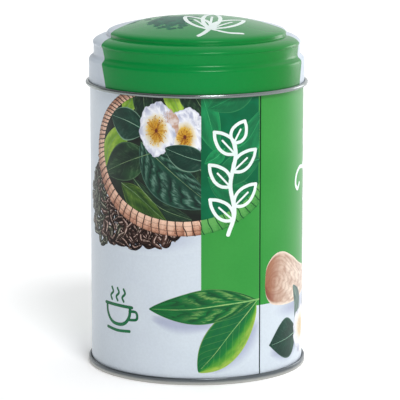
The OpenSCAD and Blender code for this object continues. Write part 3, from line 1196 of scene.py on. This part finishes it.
def build_side(inks):
    """Right of the seam: a wooden scoop, a flower with two leaves, and a flourish."""
    steps = 60
    top = smooth(((34, 44), (35, 52.5), (39.5, 57.6), (46, 58.6), (54, 55.4), (63, 50.6), (73, 47.6),
                  (84, 46), (92, 44.5)), steps)
    foot = smooth(((34, 44), (34.8, 39), (37.4, 35.4), (42, 33.8), (50, 33), (60, 33.4), (70, 35), (82, 38),
                   (92, 41.5)), steps)
    scoop = Art(5 * INK)
    scoop.grid([[(foot[i].lerp(top[i], (w + 10) / 20), (i / steps, w / 10, 0.5)) for w in range(-10, 11)]
                for i in range(steps + 1)])
    scoop.sliced().piece("scoop", inks["wood"])
    shadow = Art(3 * INK)
    shadow.disc((58, 31), ellipse((58, 31), 21.0, 6.0), lambda p, k: (k, 0, 0), 8, 48)
    soft_leaf(shadow, ((62, 14), (50, 11), (36, 12)), 7.0, 6.0)
    shadow.sliced().piece("side_shadows", inks["shadow"])
    leaves = leaves_of(((((60, 19), (50, 17), (36.6, 15.4)), 10.0, 9.6, 0.4),
                        (((72, 28), (80, 33), (88, 30)), 4.0, 4.5, 0.5)), 6 * INK, 1.05)
    leaves.piece("side_leaf", inks["leaf_side"])
    leaves_of(((((58.5, 23.5), (60.5, 32.5), (55.8, 41)), 3.4, 4.6, 0.6),), 6 * INK).piece(
        "side_leaf_grey", inks["leaf_grey"])
    ribs = Art(6.6 * INK)
    ribs.rib(((60, 18.5), (50, 16.6), (38.5, 15.3)), 0.4, 0.12)
    ribs.rib(((58.5, 23.5), (60.5, 32.5), (56.2, 40)), 0.35, 0.12)
    ribs.piece("side_ribs", inks["rib_front"])
    petals, stamens = flower(Art(7 * INK), Art(8 * INK, INK / 500), (67.5, 17.8), 12.4, 0.95, 21,
                             (66.5, 19), 4.6)
    petals.piece("side_petals", inks["petal_pale"])
    stamens.piece("side_stamens", inks["stamen_pale"])
    side_ornament().piece("side_ornament", inks["ornament_white"])


BUSH_LEAVES = 420


def build_dome_art(inks, blank):
    """Foliage at the back of the dome and a white sprig in front of it."""
    rng = random.Random(4)
    bush = Art(3 * INK, INK / 400)
    heart = [((-12, -7), 4.4, 6.6)] * 5
    edge = [((-31, 3), 1.8, 2.6), ((-24, 13), 2.2, 2.6), ((-16, 23), 2.4, 3.0), ((-4, 28), 3.4, 2.6)]
    for _ in range(BUSH_LEAVES):
        middle, wide_x, wide_y = rng.choice(heart + edge)
        p = Vector(middle) + Vector((rng.gauss(0, wide_x), rng.gauss(0, wide_y)))
        a = rng.uniform(0, 2 * math.pi)
        d = toward(a) * rng.uniform(3.0, 5.6)
        wide = rng.uniform(1.0, 1.8)
        bush.leaf((p - d / 2, p + d.orthogonal() * 0.12, p + d / 2), wide, wide, rng.random(), steps=8,
                  columns=3)
    for bearing, far in (LID_EDGE_LEFT, LID_EDGE_RIGHT):
        place, out = lid_edge(bearing, far - 0.5)
        bush.cut(place, -out)
    bush.piece("dome_foliage", inks["foliage"], "lid", "printed_green", blank.place)
    sprig = Art(5 * INK)
    sprig.stroke(((1, -37), (3.5, -33), (6, -27)), 2.2, 20)
    sprig.stroke(((6, -27), (14, -31), (21, -30)), 1.9, 20)
    for base, tip, wide in (((5.5, -28), (-5, 0), 4.4), ((6, -27), (8, 15), 4.0), ((7, -27), (22, -3), 4.4)):
        leaf_outline(sprig, base, tip, wide, 1.9)
    sprig.piece("dome_ornament", inks["ornament_white"], "lid", "printed_green", blank.place)


# Each plain ink: its two tones, then how fine the drift between them is and how strongly it shines
PLAIN_INKS = {
    "inside": ((8, 20, 14), (20, 40, 26), 160.0),
    "inside_tint": ((0, 94, 58), (0, 104, 66), 110.0, 0.15),
    "rib": ((126, 154, 110), (92, 124, 86), 300.0),
    "rib_front": ((150, 186, 160), (120, 164, 140), 300.0),
    "rib_tint": ((60, 168, 106), (30, 146, 86), 300.0),
    "lashing": ((52, 28, 24), (36, 20, 18), 300.0),
    "lashing_tint": ((6, 76, 34), (10, 84, 38), 300.0),
    "sprig_rib": ((120, 178, 104), (160, 196, 120), 300.0),
    "foliage": ((2, 78, 62), (14, 108, 78), 420.0, 0.05),
    "ornament_white": ((232, 242, 238), (224, 236, 232)),
    "ornament_green": ((0, 96, 56), (8, 108, 62))}
# Each leaf's ink: the blade's two tones and its veins' colour, then how many side veins it has and
# how strongly its bulges, its side veins and its edge show
LEAF_INKS = {
    "leaf_dark": ((8, 36, 26), (34, 76, 42), (112, 150, 104), 7, 0.18, 0.12),
    "leaf_olive": ((22, 58, 16), (82, 122, 38), (166, 190, 90), 7, 0.15, 0.12),
    "leaf_light": ((100, 146, 34), (168, 200, 70), (206, 224, 122), 7, 0.2, 0.2),
    "leaf_side": ((0, 46, 35), (4, 76, 56), (110, 150, 136), 7, 0.1, 0.15),
    "leaf_grey": ((60, 86, 82), (122, 146, 138), (186, 202, 194), 7, 0.1, 0.1),
    "leaf_tint": ((0, 98, 58), (14, 142, 82), (84, 178, 112), 6, 0.06, 0.1, 0.25),
    "leaf_front": ((6, 46, 36), (18, 70, 54), (150, 190, 164), 7, 0.06, 0.05, 0.7)}


def make_inks():
    """The inks of the pictures, by name."""
    inks = {name: plain_ink(name + "_ink", *row) for name, row in PLAIN_INKS.items()}
    inks |= {name: leaf_ink(name + "_ink", *row) for name, row in LEAF_INKS.items()}
    return inks | {
        "shadow": soft_shadow_ink("shadow_ink", WHITE, (158, 164, 190)),
        "tea": twist_ink(),
        "wood": wood_ink(),
        "leaf_embossed": furrowed_ink("leaf_embossed_ink", (10, 50, 40), (18, 70, 52), (4, 26, 24),
                                      (118, 162, 142)),
        "sprig_big": furrowed_ink("sprig_big_ink", (0, 84, 40), (2, 112, 48), (0, 66, 32),
                                  (136, 180, 98), 5.0, (0.5, 0.8), 0.7),
        "sprig_small": margin_leaf_ink(),
        "petal": petal_ink("petal_ink"),
        "petal_pale": petal_ink("petal_pale_ink", 0.6),
        "stamen": stamen_ink("stamen_ink"),
        "stamen_pale": stamen_ink("stamen_pale_ink", 0.7),
        "cane": cane_ink("cane_ink", (84, 48, 38), (178, 124, 98), (234, 196, 172)),
        "cane_tint": cane_ink("cane_tint_ink", (22, 104, 42), (66, 146, 64), (96, 166, 86), 0.1)}


# ================================================================ the studio
WORLD_SIDES = (0.18, 1.02)     # how bright it is on the left and on the right
WORLD_DEPTHS = (0.5, 1.6)      # in front of the tin and behind it, times the above
SUN_POWER = 1.7
SUN_WIDTH = math.radians(20)
SUN_WAY = (-0.35, 1.0, -1.0)
# Each soft box: its name, place and power
STRIPS = (("strip_right", (1.0, 0.8, 0.25), 2.6), ("strip_left", (-1.0, 0.8, 0.25), 0.8))
STRIP_SIZE = 0.5
TIN_MIDDLE = (0, 0, 0.08)
CAMERA_PLACE = (0.0, -1.226, 0.3076)
CAMERA_DOWN = 10.65            # degrees below the level
CAMERA_LENS = 237.4
CAMERA_SHIFT = 0.00825


def build_floor():
    """A plain white floor, faintly lit from within."""
    bm = bmesh.new()
    bmesh.ops.create_grid(bm, x_segments=8, y_segments=8, size=6.0)
    mesh = bpy.data.meshes.new("floor")
    bm.to_mesh(mesh)
    bm.free()
    floor = bpy.data.objects.new("floor", mesh)
    bpy.context.scene.collection.objects.link(floor)
    net = Net("floor_paper")
    grain = net.noise(net.object, 30.0)
    net.finish(net.mix(grain, (254, 254, 254), (252, 252, 252)), 0.9)
    net.shader.inputs["Specular IOR Level"].default_value = 0.0
    net.shader.inputs["Emission Color"].default_value = (1.0, 0.97, 0.95, 1.0)
    net.shader.inputs["Emission Strength"].default_value = 0.15
    mesh.materials.append(net.material)


def build_world():
    """A surround that brightens to the right and to the back."""
    world = bpy.data.worlds.new("studio")
    world.use_nodes = True
    tree = world.node_tree
    background = tree.nodes["Background"]
    coordinates = tree.nodes.new("ShaderNodeTexCoord")
    parts = tree.nodes.new("ShaderNodeSeparateXYZ")
    tree.links.new(coordinates.outputs["Generated"], parts.inputs[0])
    power = tree.nodes.new("ShaderNodeMath")
    power.operation = "MULTIPLY"
    for axis, ends in ((0, WORLD_SIDES), (1, WORLD_DEPTHS)):
        spread = tree.nodes.new("ShaderNodeMapRange")
        tree.links.new(parts.outputs[axis], spread.inputs[0])
        for socket, value in zip(spread.inputs[1:5], (-0.9, 0.9, *ends)):
            socket.default_value = value
        tree.links.new(spread.outputs[0], power.inputs[axis])
    background.inputs[0].default_value = (0.97, 0.99, 1.0, 1.0)
    tree.links.new(power.outputs[0], background.inputs[1])
    bpy.context.scene.world = world


def add_lamp(name, kind, power, way):
    """A lamp that shines along a direction."""
    light = bpy.data.lights.new(name, kind)
    light.energy = power
    lamp = bpy.data.objects.new(name, light)
    lamp.rotation_euler = Vector(way).to_track_quat("-Z", "Y").to_euler()
    bpy.context.scene.collection.objects.link(lamp)
    return lamp


def build_lights():
    """The sun, and two soft boxes behind the tin."""
    sun = add_lamp("sun", "SUN", SUN_POWER, SUN_WAY)
    sun.data.angle = SUN_WIDTH
    for name, place, power in STRIPS:
        strip = add_lamp(name, "AREA", power, Vector(TIN_MIDDLE) - Vector(place))
        strip.location = place
        strip.data.shape = "SQUARE"
        strip.data.size = STRIP_SIZE


def build_camera():
    """A long lens, looking slightly down on the tin."""
    camera = bpy.data.objects.new("camera", bpy.data.cameras.new("camera"))
    camera.location = CAMERA_PLACE
    camera.rotation_euler = (math.radians(90 - CAMERA_DOWN), 0.0, 0.0)
    camera.data.lens = CAMERA_LENS
    camera.data.sensor_width = 36.0
    camera.data.shift_x = CAMERA_SHIFT
    bpy.context.scene.collection.objects.link(camera)
    bpy.context.scene.camera = camera


bpy.context.scene.view_settings.view_transform = "Standard"
build_metal()
build_grounds()
lid_blank = Blank()
build_lid_print(lid_blank)
ink_set = make_inks()
build_pictures(ink_set)
build_side(ink_set)
build_dome_art(ink_set, lid_blank)
build_floor()
build_world()
build_lights()
build_camera()
